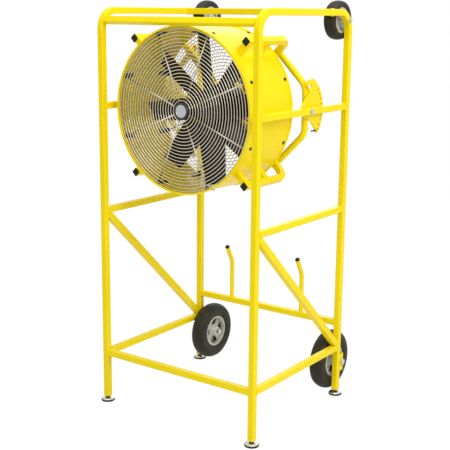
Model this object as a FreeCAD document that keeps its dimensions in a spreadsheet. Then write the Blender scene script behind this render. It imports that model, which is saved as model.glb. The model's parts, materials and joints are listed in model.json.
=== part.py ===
# Drum air circulator that tilts in a wheeled tube cart, in millimetres.
# The front faces -Y, up is +Z, the origin is on the floor under the middle of the whole.
import FreeCAD, Part
import Sketcher
import math
import os
import re

V = FreeCAD.Vector
X_AXIS = V(1, 0, 0)
Y_AXIS = V(0, 1, 0)
Z_AXIS = V(0, 0, 1)
ZERO = "0"

doc = FreeCAD.newDocument("drum_fan_cart")
sheet = doc.addObject("Spreadsheet::Sheet", "Sizes")

# Driving sizes
SIZES = [
    ("tube_side", "25.4"),
    ("tube_wall", "2"),
    ("tube_corner", "3"),
    ("frame_width", "730"),
    ("frame_depth", "635"),
    ("top_height", "1600"),
    ("bend_radius", "70"),
    ("leg_end", "22"),
    ("bottom_height", "214"),
    ("mid_height", "814.5"),
    ("cord_height", "322"),
    ("pivot_height", "1233"),
    ("cross_angle", "28"),
    ("rear_tube_setback", "106"),
    ("post_spread", "366"),
    ("post_radius", "9.5"),
    ("post_wall", "1.6"),
    ("post_rise", "152"),
    ("post_bend", "55"),
    ("post_lean", "28"),
    ("post_tip", "68"),
    ("post_cap_height", "7"),
    ("foot_radius", "28"),
    ("foot_pad_height", "8"),
    ("foot_cup_height", "15"),
    ("foot_cup_top", "17"),
    ("stud_radius", "6"),
    ("stud_reach", "52"),
    ("insert_height", "20"),
    ("run_gap", "0.05"),
    ("side_gap", "0.4"),
    ("lower_wheel_radius", "127"),
    ("lower_wheel_width", "63.5"),
    ("lower_rim_radius", "70"),
    ("lower_wheel_inset", "50"),
    ("lower_axle_height", "142"),
    ("lower_axle_radius", "8"),
    ("axle_block_height", "76"),
    ("upper_wheel_radius", "76.2"),
    ("upper_wheel_width", "50.8"),
    ("upper_rim_radius", "50"),
    ("upper_wheel_inset", "42"),
    ("upper_axle_radius", "6.35"),
    ("upper_axle_angle", "35"),
    ("drum_radius", "312"),
    ("drum_wall", "2"),
    ("drum_length", "287"),
    ("drum_inset", "28"),
    ("lip_radius", "317"),
    ("lip_length", "9"),
    ("lip_round", "3"),
    ("screw_row", "45"),
    ("rear_screw_row", "20"),
    ("screw_radius", "3"),
    ("screw_head", "6.5"),
    ("corner_reach", "371"),
    ("corner_front", "47"),
    ("corner_bend", "42"),
    ("handle_setback", "324.5"),
    ("strut_front", "64.5"),
    ("strut_back", "195"),
    ("yoke_radius", "12.7"),
    ("yoke_wall", "2"),
    ("yoke_bend", "60"),
    ("yoke_chord", "299"),
    ("yoke_tail", "16"),
    ("pivot_setback", "32"),
    ("pivot_radius", "8"),
    ("plate_gap", "2"),
    ("plate_thickness", "6"),
    ("plate_radius", "131"),
    ("index_radius", "119"),
    ("index_hole", "5.2"),
    ("index_step", "10"),
    ("eye_radius", "10.5"),
    ("pin_radius", "4.7"),
    ("pin_travel", "10"),
    ("pin_knob", "10"),
    ("pin_knob_height", "5"),
    ("yoke_angle", "45"),
    ("wire_side", "3.2"),
    ("guard_set", "9"),
    ("ring_first", "40"),
    ("ring_pitch", "12.7"),
    ("spoke_width", "5"),
    ("spoke_depth", "5"),
    ("tab_width", "16"),
    ("tab_length", "55"),
    ("tab_thickness", "2.5"),
    ("ledge_reach", "14"),
    ("cap_radius", "34"),
    ("cap_height", "6"),
    ("rear_ring_first", "108"),
    ("impeller_set", "183"),
    ("tip_radius", "300"),
    ("hub_radius", "66"),
    ("hub_length", "64"),
    ("root_chord", "104"),
    ("middle_chord", "96"),
    ("tip_chord", "78"),
    ("root_pitch", "36"),
    ("middle_pitch", "29"),
    ("tip_pitch", "24"),
    ("blade_thickness", "8"),
    ("camber_share", "1.2"),
    ("first_blade", "6.4"),
    ("shaft_radius", "11.1"),
    ("motor_radius", "88"),
    ("motor_wall", "6"),
    ("motor_front", "246"),
    ("motor_length", "190"),
    ("bell_height", "22"),
    ("cover_height", "34"),
    ("rotor_radius", "55"),
    ("stator_radius", "57"),
    ("core_length", "110"),
    ("band_thickness", "5"),
    ("band_width", "50"),
    ("box_length", "67"),
    ("box_width", "70"),
    ("box_height", "44"),
    ("lid_height", "4"),
    ("lid_lip", "2"),
    ("cut_over", "1"),
    ("tyre_bead_share", "0.4"),
    ("tyre_crown_share", "0.3"),
    ("tyre_drop_share", "1.2"),
    ("tyre_round_share", "1.3"),
    ("hub_boss_share", "2.4"),
    ("hub_lip_share", "0.84"),
    ("hub_web_share", "0.14"),
    ("window_near_share", "0.42"),
    ("window_far_share", "0.76"),
    ("window_root_share", "0.16"),
    ("window_round_share", "0.87"),
    ("bolt_head_share", "1.7"),
    ("bolt_end_share", "2.2"),
    ("collar_share", "1.8"),
    ("flange_share", "1.9"),
    ("nut_height_share", "1.6"),
    ("pivot_head_share", "1.6"),
    ("pivot_rise_share", "0.8"),
    ("pivot_nut_share", "1.2"),
    ("cup_step_share", "1.4"),
    ("plug_cap_share", "1.5"),
    ("plate_tail_share", "0.23"),
    ("plate_edge_share", "0.11"),
    ("plate_knee_share", "0.305"),
    ("plate_low_angle", "45"),
    ("plate_high_angle", "67.5"),
    ("plate_peak_share", "0.87"),
    ("plate_notch_share", "0.06"),
    ("plate_nape_share", "0.75"),
    ("plate_hip_share", "0.22"),
    ("plate_waist_share", "0.53"),
    ("eye_side_share", "0.26"),
    ("eye_rise_share", "0.69"),
    ("cap_hole_share", "0.2"),
    ("cap_edge_share", "0.94"),
    ("cap_rim_share", "0.72"),
    ("cap_plate_share", "0.7"),
    ("cap_floor_share", "0.8"),
    ("bell_rim_share", "0.9"),
    ("bell_neck_share", "3"),
    ("bell_nose_share", "2.4"),
    ("bell_rise_share", "0.8"),
    ("cover_rim_share", "0.8"),
    ("hub_nose_share", "0.6"),
    ("root_sink_share", "0.7"),
]

# Sizes that follow from the driving ones
DERIVED = [
    ("tube_half", "=tube_side / 2"),
    ("tube_inside", "=tube_side - 2 * tube_wall"),
    ("inside_corner", "=tube_corner - tube_wall"),
    ("side_x", "=frame_width / 2"),
    ("leg_y", "=frame_depth / 2"),
    ("frame_mid", "=-(tube_side + lower_wheel_radius - foot_radius) / 2"),
    ("side_clear", "=frame_depth - tube_side"),
    ("cross_clear", "=frame_width - tube_side"),
    ("brace_rise", "=mid_height - bottom_height - tube_side"),
    ("brace_long", "=sqrt(side_clear * side_clear + brace_rise * brace_rise)"),
    ("drum_front", "=frame_mid - leg_y + drum_inset"),
    ("drum_inner", "=drum_radius - drum_wall"),
    ("pivot_y", "=frame_mid + pivot_setback"),
    ("yoke_y", "=drum_front + handle_setback + tube_half + yoke_radius"),
    ("yoke_x", "=side_x - tube_half - plate_gap - plate_thickness - yoke_radius"),
    ("yoke_sum", "=yoke_chord * sqrt(2)"),
    ("yoke_start", "=yoke_sum / 2 - yoke_tail * cos(yoke_angle)"),
    ("yoke_corner", "=yoke_sum - yoke_x"),
    ("yoke_run", "=(yoke_x - yoke_start) * sqrt(2)"),
    ("yoke_cut", "=yoke_bend * tan(yoke_angle / 2)"),
    ("band_radius", "=motor_radius + band_thickness"),
    ("motor_back", "=motor_front + motor_length"),
    ("tab_seat", "=sqrt(drum_inner * drum_inner - tab_width * tab_width / 4)"),
    ("plate_x", "=side_x - tube_half - plate_gap - plate_thickness"),
    ("bend_y", "=leg_y - bend_radius + bend_radius * cos(upper_axle_angle)"),
    ("bend_z", "=top_height - bend_radius + bend_radius * sin(upper_axle_angle)"),
]
row = 0
for alias, text in SIZES + DERIVED:
    row += 1
    sheet.set("A%d" % row, alias)
    sheet.set("B%d" % row, text)
    sheet.setAlias("B%d" % row, alias)
doc.recompute()
ALIAS = re.compile(r"\b(" + "|".join(name for name, text in SIZES + DERIVED) + r")\b")
SCRATCH_CELL = "Z1"


# Reads a formula of sheet names as a number
def number(text):
    if text == ZERO:
        return 0.0
    sheet.set(SCRATCH_CELL, "=" + text)
    sheet.recompute()
    return float(sheet.get(SCRATCH_CELL))


# Binds a property to a formula of sheet names
def bind(item, name, text):
    item.setExpression(name, ALIAS.sub(r"Sizes.\1", text))


# Starts a named body
def new_body(label):
    body = doc.addObject("PartDesign::Body", label)
    body.Label = label
    return body


# Starts a sketch on one of the body's own planes, lifted along the normal if asked
def new_sketch(body, role, lift=ZERO):
    drawing = body.newObject("Sketcher::SketchObject", body.Name + "_sketch")
    for feature in body.Origin.OriginFeatures:
        if feature.Role == role:
            drawing.AttachmentSupport = [(feature, "")]
    drawing.MapMode = "FlatFace"
    if lift != ZERO:
        bind(drawing, "AttachmentOffset.Base.z", lift)
    return drawing


# Adds one bound measure from the sketch origin to a point
def pin_point(drawing, line, end, across, up):
    for kind, text, axis in (("DistanceX", across, -2), ("DistanceY", up, -1)):
        if text == ZERO:
            drawing.addConstraint(Sketcher.Constraint("PointOnObject", line, end, axis))
        else:
            spot = drawing.addConstraint(Sketcher.Constraint(kind, -1, 1, line, end, number(text)))
            bind(drawing, "Constraints[%d]" % spot, text)


# Draws a chain of lines and arcs, each corner bound; an arc corner adds its radius and turn
def chain(drawing, corners, closed=True):
    spots = [V(number(c[0]), number(c[1]), 0) for c in corners]
    count = len(corners)
    runs = count if closed else count - 1
    ends = []
    for i in range(runs):
        j = (i + 1) % count
        start = spots[i]
        stop = spots[j]
        if len(corners[j]) == 2:
            line = drawing.addGeometry(Part.LineSegment(start, stop))
            ends.append((line, 1, 2))
        else:
            radius = number(corners[j][2])
            turn = corners[j][3]
            across = stop - start
            half = across.Length / 2
            lift = math.sqrt(max(radius * radius - half * half, 0.0))
            side = V(-across.y, across.x, 0).normalize() * (lift * turn)
            middle = (start + stop) * 0.5 + side
            first = start if turn > 0 else stop
            last = stop if turn > 0 else start
            begin = math.atan2(first.y - middle.y, first.x - middle.x)
            finish = math.atan2(last.y - middle.y, last.x - middle.x)
            circle = Part.Circle(middle, Z_AXIS, radius)
            line = drawing.addGeometry(Part.ArcOfCircle(circle, begin, finish))
            ends.append((line, 1, 2) if turn > 0 else (line, 2, 1))
            spot = drawing.addConstraint(Sketcher.Constraint("Radius", line, radius))
            bind(drawing, "Constraints[%d]" % spot, corners[j][2])
    for i in range(runs):
        if i + 1 < runs or closed:
            after = ends[(i + 1) % runs]
            meet = Sketcher.Constraint("Coincident", ends[i][0], ends[i][2], after[0], after[1])
            drawing.addConstraint(meet)
        pin_point(drawing, ends[i][0], ends[i][1], corners[i][0], corners[i][1])
    if not closed:
        pin_point(drawing, ends[-1][0], ends[-1][2], corners[-1][0], corners[-1][1])


# Draws a circle with its centre and radius bound
def ring(drawing, across, up, radius):
    circle = Part.Circle(V(number(across), number(up), 0), Z_AXIS, number(radius))
    line = drawing.addGeometry(circle)
    spot = drawing.addConstraint(Sketcher.Constraint("Radius", line, number(radius)))
    bind(drawing, "Constraints[%d]" % spot, radius)
    pin_point(drawing, line, 3, across, up)


# Draws a square with round corners
def soft_square(drawing, across, up, side, corner):
    reach = "%s / 2" % side
    inner = "(%s / 2 - %s)" % (side, corner)
    corners = []
    for sx, sy in ((1, -1), (1, 1), (-1, 1), (-1, -1)):
        upright = ("%s + %d * %s" % (across, sx, reach), "%s + %d * %s" % (up, sy, inner))
        level = ("%s + %d * %s" % (across, sx, inner), "%s + %d * %s" % (up, sy, reach))
        first, second = (level, upright) if sx * sy < 0 else (upright, level)
        corners.append(first)
        corners.append((second[0], second[1], corner, 1))
    chain(drawing, corners)


# Draws the wall of a square tube
def tube_wall_outline(drawing, across=ZERO, up=ZERO):
    soft_square(drawing, across, up, "tube_side", "tube_corner")
    soft_square(drawing, across, up, "tube_inside", "inside_corner")


# Pads a sketch
def pad(body, drawing, length, both=False, back=False):
    feature = body.newObject("PartDesign::Pad", body.Name + "_pad")
    feature.Profile = drawing
    feature.Midplane = both
    feature.Reversed = back
    bind(feature, "Length", length)
    body.Tip = feature
    return feature


# Cuts a sketch, right through both ways or to a bound depth
def cut(body, drawing, depth="", both=False, back=False):
    feature = body.newObject("PartDesign::Pocket", body.Name + "_cut")
    feature.Profile = drawing
    feature.Reversed = back
    if depth:
        bind(feature, "Length", depth)
    else:
        feature.Type = "ThroughAll"
    feature.Midplane = both
    body.Tip = feature
    return feature


# Turns a sketch about the upright axis of its own drawing
def turned(body, drawing):
    feature = body.newObject("PartDesign::Revolution", body.Name + "_turned")
    feature.Profile = drawing
    feature.ReferenceAxis = (drawing, ["V_Axis"])
    feature.Angle = 360
    body.Tip = feature
    return feature


# Repeats features around the body's own Z axis
def around(body, features, count):
    feature = body.newObject("PartDesign::PolarPattern", body.Name + "_around")
    feature.Originals = features
    for axis in body.Origin.OriginFeatures:
        if axis.Role == "Z_Axis":
            feature.Axis = (axis, [""])
    feature.Angle = 360
    feature.Occurrences = count
    body.Tip = feature
    return feature


# Sweeps a sketch along a drawn path
def swept(body, drawing, path, pieces):
    feature = body.newObject("PartDesign::AdditivePipe", body.Name + "_pipe")
    feature.Profile = (drawing, [""])
    feature.Spine = (path, ["Edge%d" % (i + 1) for i in range(pieces)])
    body.Tip = feature
    return feature


# Puts an item in place with bound coordinates
def put(item, across, along, up, turn=None):
    item.Placement = FreeCAD.Placement(V(0, 0, 0), turn if turn else FreeCAD.Rotation())
    for name, text in (("x", across), ("y", along), ("z", up)):
        if text != ZERO:
            bind(item, "Placement.Base." + name, text)


# Gathers several items into one node
def group(label, items):
    bundle = doc.addObject("Part::Compound", label)
    bundle.Label = label
    bundle.Links = items
    return bundle


# Turned body from an outline of radius and height
def turned_body(label, corners):
    body = new_body(label)
    drawing = new_sketch(body, "XZ_Plane")
    chain(drawing, corners)
    turned(body, drawing)
    return body


# Straight square tube, drawn upright
def straight_tube(label, length):
    body = new_body(label)
    drawing = new_sketch(body, "XY_Plane")
    tube_wall_outline(drawing)
    pad(body, drawing, length)
    return body


# Solid round bar along its own Z axis from one height to another
def bar(name, radius, low, high):
    item = doc.addObject("Part::Cylinder", name)
    bind(item, "Radius", radius)
    bind(item, "Height", "(%s) - (%s)" % (high, low))
    put(item, ZERO, ZERO, low)
    return item


# Hexagon bar along its own Z axis
def hexagon(name, radius, low, high):
    item = doc.addObject("Part::Prism", name)
    item.Polygon = 6
    bind(item, "Circumradius", radius)
    bind(item, "Height", "(%s) - (%s)" % (high, low))
    put(item, ZERO, ZERO, low)
    return item


# Joins several primitives into one solid
def joined(name, items):
    item = doc.addObject("Part::MultiFuse", name)
    item.Shapes = items
    return item


# Cuts one primitive from another
def less(name, base, tool):
    item = doc.addObject("Part::Cut", name)
    item.Base = base
    item.Tool = tool
    return item


NODES = []
SIDES = (("left", -1), ("right", 1))
ALONG_X = FreeCAD.Rotation(Y_AXIS, 90)
ALONG_BACK_X = FreeCAD.Rotation(Y_AXIS, -90)
ALONG_Y = FreeCAD.Rotation(X_AXIS, -90)
FAN_TURN = FreeCAD.Rotation(X_AXIS, 90)

# Side loops: one bent square tube makes both legs and the top rail
for side, sign in SIDES:
    loop = new_body(side + "_side_loop")
    path = new_sketch(loop, "YZ_Plane")
    chain(path, [
        ("-leg_y", "leg_end"),
        ("-leg_y", "top_height - bend_radius"),
        ("bend_radius - leg_y", "top_height", "bend_radius", -1),
        ("leg_y - bend_radius", "top_height"),
        ("leg_y", "top_height - bend_radius", "bend_radius", -1),
        ("leg_y", "leg_end"),
    ], closed=False)
    wall = new_sketch(loop, "XY_Plane", "leg_end")
    tube_wall_outline(wall, ZERO, "-leg_y")
    swept(loop, wall, path, 5)
    # Holes for the upper axle, through the bend
    hole = new_sketch(loop, "YZ_Plane")
    ring(hole, "bend_y", "bend_z", "upper_axle_radius")
    cut(loop, hole, both=True)
    put(loop, "%d * side_x" % sign, "frame_mid", ZERO)
    NODES.append(loop)

# Cross tubes between the loops
tilt = FreeCAD.Rotation(X_AXIS, -number("cross_angle"))
front_top = straight_tube("front_top_tube", "cross_clear")
put(front_top, "-cross_clear / 2", "frame_mid - leg_y + bend_radius * (1 - cos(cross_angle))",
    "top_height - bend_radius * (1 - sin(cross_angle))", tilt.multiply(ALONG_X))
rear_top = straight_tube("rear_top_tube", "cross_clear")
put(rear_top, "-cross_clear / 2", "frame_mid + leg_y - rear_tube_setback", "top_height", ALONG_X)
front_bottom = straight_tube("front_bottom_rail", "cross_clear")
put(front_bottom, "-cross_clear / 2", "frame_mid - leg_y", "bottom_height", ALONG_X)
cord_rail = straight_tube("rear_cord_rail", "cross_clear")
put(cord_rail, "-cross_clear / 2", "frame_mid + leg_y", "cord_height", ALONG_X)
NODES += [front_top, rear_top, front_bottom, cord_rail]

# Side rails between the legs
for side, sign in SIDES:
    for name, height in (("bottom", "bottom_height"), ("mid", "mid_height"), ("pivot", "pivot_height")):
        rail = straight_tube("%s_%s_rail" % (side, name), "side_clear")
        if name == "pivot":
            hole = new_sketch(rail, "YZ_Plane")
            ring(hole, ZERO, "pivot_setback + side_clear / 2", "pivot_radius")
            if sign < 0:
                ring(hole, ZERO, "pivot_setback + index_radius + side_clear / 2", "pin_radius + run_gap")
            cut(rail, hole, both=True)
        put(rail, "%d * side_x" % sign, "frame_mid - side_clear / 2", height, ALONG_Y)
        NODES.append(rail)

# Diagonal braces from corner to corner of each side
for side, sign in SIDES:
    brace = new_body(side + "_diagonal_brace")
    for half in ("tube_half", "(tube_half - tube_wall)"):
        level = "%s * brace_long / brace_rise" % half
        upright = "%s * brace_long / side_clear" % half
        drawing = new_sketch(brace, "YZ_Plane")
        chain(drawing, [
            (ZERO, "brace_rise"),
            (ZERO, "brace_rise - " + upright),
            ("side_clear - " + level, ZERO),
            ("side_clear", ZERO),
            ("side_clear", upright),
            (level, "brace_rise"),
        ])
        if half == "tube_half":
            pad(brace, drawing, "tube_side", both=True)
        else:
            cut(brace, drawing, "tube_inside", both=True)
    put(brace, "%d * side_x" % sign, "frame_mid - side_clear / 2", "bottom_height + tube_half")
    NODES.append(brace)

# Cord posts on the rear rail, leaning forwards at the top
lean_y = "post_bend * (1 - cos(post_lean))"
lean_z = "post_rise + post_bend * sin(post_lean)"
tip_y = lean_y + " + post_tip * sin(post_lean)"
tip_z = lean_z + " + post_tip * cos(post_lean)"
caps = []
for side, sign in SIDES:
    post = new_body(side + "_cord_post")
    path = new_sketch(post, "YZ_Plane")
    chain(path, [
        (ZERO, ZERO),
        (ZERO, "post_rise"),
        ("-(%s)" % lean_y, lean_z, "post_bend", 1),
        ("-(%s)" % tip_y, tip_z),
    ], closed=False)
    wall = new_sketch(post, "XY_Plane")
    ring(wall, ZERO, ZERO, "post_radius")
    ring(wall, ZERO, ZERO, "post_radius - post_wall")
    swept(post, wall, path, 3)
    put(post, "%d * post_spread / 2" % sign, "frame_mid + leg_y", "cord_height + tube_half")
    NODES.append(post)
    cap = turned_body(side + "_cap_piece", [
        (ZERO, "-post_cap_height"),
        ("post_radius - post_wall", "-post_cap_height"),
        ("post_radius - post_wall", ZERO),
        ("post_radius + post_wall / 2", ZERO),
        ("post_radius + post_wall / 2", "post_cap_height / 2"),
        ("post_radius - post_wall", "post_cap_height"),
        (ZERO, "post_cap_height"),
    ])
    put(cap, "%d * post_spread / 2" % sign, "frame_mid + leg_y - (%s)" % tip_y,
        "cord_height + tube_half + " + tip_z, FreeCAD.Rotation(X_AXIS, number("post_lean")))
    caps.append(cap)
NODES.append(group("cord_post_caps", caps))

# Axle blocks behind the rear legs
blocks = []
for side, sign in SIDES:
    block = straight_tube(side + "_block_piece", "axle_block_height")
    hole = new_sketch(block, "YZ_Plane")
    ring(hole, ZERO, "axle_block_height / 2", "lower_axle_radius")
    cut(block, hole, both=True)
    put(block, "%d * side_x" % sign, "frame_mid + leg_y + tube_side",
        "lower_axle_height - axle_block_height / 2")
    blocks.append(block)
NODES.append(group("axle_blocks", blocks))


# Bolt with a hexagon head outside, a collar inside and a long shank, along its own Z axis inwards
def wheel_axle(name, radius, inset, width):
    head = hexagon(name + "_head", radius + " * bolt_head_share", "-" + radius, ZERO)
    tip = "tube_half + %s + %s / 2 + bolt_end_share * %s" % (inset, width, radius)
    shank = bar(name + "_shank", radius, "-" + radius + " / 2", tip)
    shoulder = "tube_half + %s - %s / 2 - side_gap" % (inset, width)
    collar = bar(name + "_collar", radius + " * collar_share", "tube_side", shoulder)
    return joined(name, [head, shank, collar])


# Flanged nut at the end of a wheel axle
def wheel_nut(name, radius, inset, width):
    face = "tube_half + %s + %s / 2 + side_gap" % (inset, width)
    top = "%s + %s * nut_height_share" % (face, radius)
    flange = bar(name + "_flange", radius + " * flange_share", face, face + " + " + radius + " / 3")
    body = hexagon(name + "_hex", radius + " * bolt_head_share", face + " + " + radius + " / 4", top)
    hole = bar(name + "_hole", radius, face + " - cut_over", top + " + cut_over")
    return less(name, joined(name + "_blank", [flange, body]), hole)


WHEELS = (
    ("lower", "frame_mid + leg_y + tube_side", "lower_axle_height"),
    ("upper", "frame_mid + bend_y", "bend_z"),
)
axles = []
nuts = []
for level, along, up in WHEELS:
    radius = level + "_axle_radius"
    inset = level + "_wheel_inset"
    width = level + "_wheel_width"
    for side, sign in SIDES:
        name = "%s_%s" % (level, side)
        inwards = ALONG_BACK_X if sign > 0 else ALONG_X
        outside = "%d * (side_x + tube_half)" % sign
        axle = wheel_axle(name + "_axle", radius, inset, width)
        put(axle, outside, along, up, inwards)
        axles.append(axle)
        nut = wheel_nut(name + "_nut", radius, inset, width)
        put(nut, outside, along, up, inwards)
        nuts.append(nut)
NODES.append(group("wheel_axles", axles))

# Wheels: a rubber tyre on a hub with windows
for level, along, up in WHEELS:
    rim = level + "_rim_radius"
    outer = level + "_wheel_radius"
    width = level + "_wheel_width"
    for side, sign in SIDES:
        centre = "%d * (side_x - %s_wheel_inset)" % (sign, level)
        shoulder = "(%s - %s) / 4" % (outer, rim)
        drop = "%s - tyre_drop_share * %s" % (outer, shoulder)
        tyre = turned_body("%s_%s_tyre" % (level, side), [
            (rim, "-tyre_bead_share * " + width),
            ("%s + %s" % (rim, shoulder), "side_gap - %s / 2" % width),
            (drop, "side_gap - %s / 2" % width),
            (outer, "-tyre_crown_share * " + width, "tyre_round_share * " + shoulder, 1),
            (outer, "tyre_crown_share * " + width),
            (drop, "%s / 2 - side_gap" % width, "tyre_round_share * " + shoulder, 1),
            ("%s + %s" % (rim, shoulder), "%s / 2 - side_gap" % width),
            (rim, "tyre_bead_share * " + width),
        ])
        put(tyre, centre, along, up, ALONG_X)
        boss = level + "_axle_radius * hub_boss_share"
        lip = rim + " * hub_lip_share"
        hub = turned_body("%s_%s_hub" % (level, side), [
            (level + "_axle_radius + run_gap", "-%s / 2" % width),
            (boss, "-%s / 2" % width),
            (boss, "-hub_web_share * " + width),
            (lip, "-hub_web_share * " + width),
            (lip, "-tyre_bead_share * " + width),
            (rim, "-tyre_bead_share * " + width),
            (rim, "tyre_bead_share * " + width),
            (lip, "tyre_bead_share * " + width),
            (lip, "hub_web_share * " + width),
            (boss, "hub_web_share * " + width),
            (boss, "%s / 2" % width),
            (level + "_axle_radius + run_gap", "%s / 2" % width),
        ])
        if level == "lower":
            window = new_sketch(hub, "XY_Plane")
            near = "window_near_share * " + rim
            far = "window_far_share * " + rim
            chain(window, [
                (near, "-window_root_share * " + rim),
                (far, "-window_near_share * " + rim),
                (far, "window_near_share * " + rim, "window_round_share * " + rim, 1),
                (near, "window_root_share * " + rim),
            ])
            opening = cut(hub, window, both=True)
            around(hub, [opening], 4)
        put(hub, centre, along, up, ALONG_X)
        NODES += [tyre, hub]

# Levelling feet and the threaded inserts that hold them in the leg ends
inserts = []
for side, sign in SIDES:
    for end, way in (("front", -1), ("rear", 1)):
        foot = turned_body("%s_%s_foot" % (end, side), [
            (ZERO, ZERO),
            ("foot_radius - foot_pad_height / 4", ZERO),
            ("foot_radius", "foot_pad_height / 4"),
            ("foot_radius", "foot_pad_height"),
            ("foot_radius - foot_pad_height / 4", "foot_pad_height"),
            ("foot_radius - foot_pad_height / 2", "foot_pad_height * cup_step_share"),
            ("foot_cup_top", "foot_cup_height"),
            ("stud_radius - run_gap", "foot_cup_height"),
            ("stud_radius - run_gap", "stud_reach"),
            (ZERO, "stud_reach"),
        ])
        put(foot, "%d * side_x" % sign, "frame_mid + %d * leg_y" % way, ZERO)
        NODES.append(foot)
        plug = new_body("%s_%s_insert" % (end, side))
        drawing = new_sketch(plug, "XY_Plane")
        soft_square(drawing, ZERO, ZERO, "tube_inside", "inside_corner")
        ring(drawing, ZERO, ZERO, "stud_radius")
        pad(plug, drawing, "insert_height")
        put(plug, "%d * side_x" % sign, "frame_mid + %d * leg_y" % way, "leg_end")
        inserts.append(plug)
NODES.append(group("leg_inserts", inserts))


# Puts a fan piece in the drum's own frame: Z forwards from the front rim, turned about the axis
def put_fan(item, angle=0.0, up=ZERO):
    turn = FAN_TURN.multiply(FreeCAD.Rotation(Z_AXIS, angle))
    put(item, ZERO, "drum_front" if up == ZERO else "drum_front - (%s)" % up, "pivot_height", turn)


CORNERS = (("upper_right", 45), ("upper_left", 135), ("lower_left", 225), ("lower_right", 315))
SPOKES = 8
HALF_STEP = 180.0 / SPOKES

# Drum: a rolled shell with a bead at both ends and holes for the guard screws
drum = turned_body("drum_shell", [
    ("drum_inner", "-drum_length"),
    ("lip_radius - lip_round", "-drum_length"),
    ("lip_radius", "lip_round - drum_length", "lip_round", 1),
    ("lip_radius", "lip_length - lip_round - drum_length"),
    ("lip_radius - lip_round", "lip_length - drum_length", "lip_round", 1),
    ("drum_radius", "lip_length - drum_length"),
    ("drum_radius", "-lip_length"),
    ("lip_radius - lip_round", "-lip_length"),
    ("lip_radius", "lip_round - lip_length", "lip_round", 1),
    ("lip_radius", "-lip_round"),
    ("lip_radius - lip_round", ZERO, "lip_round", 1),
    ("drum_inner", ZERO),
])
hole = new_sketch(drum, "YZ_Plane")
ring(hole, ZERO, "-screw_row", "screw_radius")
ring(hole, ZERO, "rear_screw_row - drum_length", "screw_radius")
holes = cut(drum, hole, "lip_radius + cut_over", back=True)
around(drum, [holes], SPOKES)
put_fan(drum, HALF_STEP)
NODES.append(drum)

# Corner tubes: carry handles that bend inwards behind the drum to the motor band
plugs = []
struts = []
for name, angle in CORNERS:
    corner = new_body(name + "_corner_tube")
    path = new_sketch(corner, "XZ_Plane")
    chain(path, [
        ("corner_reach", "-corner_front"),
        ("corner_reach", "corner_bend - handle_setback"),
        ("corner_reach - corner_bend", "-handle_setback", "corner_bend", -1),
        ("band_radius", "-handle_setback"),
    ], closed=False)
    wall = new_sketch(corner, "XY_Plane", "-corner_front")
    tube_wall_outline(wall, "corner_reach", ZERO)
    swept(corner, wall, path, 3)
    put_fan(corner, angle)
    NODES.append(corner)
    plug = new_body(name + "_plug")
    drawing = new_sketch(plug, "XY_Plane", "-corner_front")
    soft_square(drawing, "corner_reach", ZERO, "tube_side", "tube_corner")
    pad(plug, drawing, "tube_wall * plug_cap_share")
    drawing = new_sketch(plug, "XY_Plane", "-corner_front")
    soft_square(drawing, "corner_reach", ZERO, "tube_inside", "inside_corner")
    pad(plug, drawing, "tube_half", back=True)
    put_fan(plug, angle)
    plugs.append(plug)
    for level in ("strut_front", "strut_back"):
        strut = new_body("%s_%s" % (name, level))
        drawing = new_sketch(strut, "YZ_Plane", "drum_radius")
        tube_wall_outline(drawing, ZERO, "-" + level)
        pad(strut, drawing, "corner_reach - tube_half - drum_radius")
        put_fan(strut, angle)
        struts.append(strut)
NODES.append(group("corner_tube_plugs", plugs))
NODES.append(group("corner_struts", struts))

# Yokes: bent round tubes behind the handles, out to the index plates
half_turn = "cos(yoke_angle)"
for side, sign in SIDES:
    yoke = new_body(side + "_yoke")
    path = new_sketch(yoke, "XZ_Plane")
    chain(path, [
        (ZERO, ZERO),
        (ZERO, "yoke_run - yoke_cut"),
        ("%d * yoke_cut * %s" % (sign, half_turn),
         "yoke_run + yoke_cut * " + half_turn, "yoke_bend", -sign),
        ("%d * (2 * yoke_corner - yoke_cut) * %s" % (sign, half_turn),
         "yoke_run + (2 * yoke_corner - yoke_cut) * " + half_turn),
        ("%d * (2 * yoke_corner * %s + yoke_cut)" % (sign, half_turn),
         "yoke_run + 2 * yoke_corner * " + half_turn, "yoke_bend", -sign),
        ("%d * (2 * yoke_corner * %s + yoke_run)" % (sign, half_turn),
         "yoke_run + 2 * yoke_corner * " + half_turn),
    ], closed=False)
    wall = new_sketch(yoke, "XY_Plane")
    ring(wall, ZERO, ZERO, "yoke_radius")
    ring(wall, ZERO, ZERO, "yoke_radius - yoke_wall")
    swept(yoke, wall, path, 5)
    put(yoke, "%d * yoke_start" % sign, "yoke_y", "pivot_height + yoke_sum - yoke_start",
        FreeCAD.Rotation(Y_AXIS, sign * (180 - number("yoke_angle"))))
    NODES.append(yoke)

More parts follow.
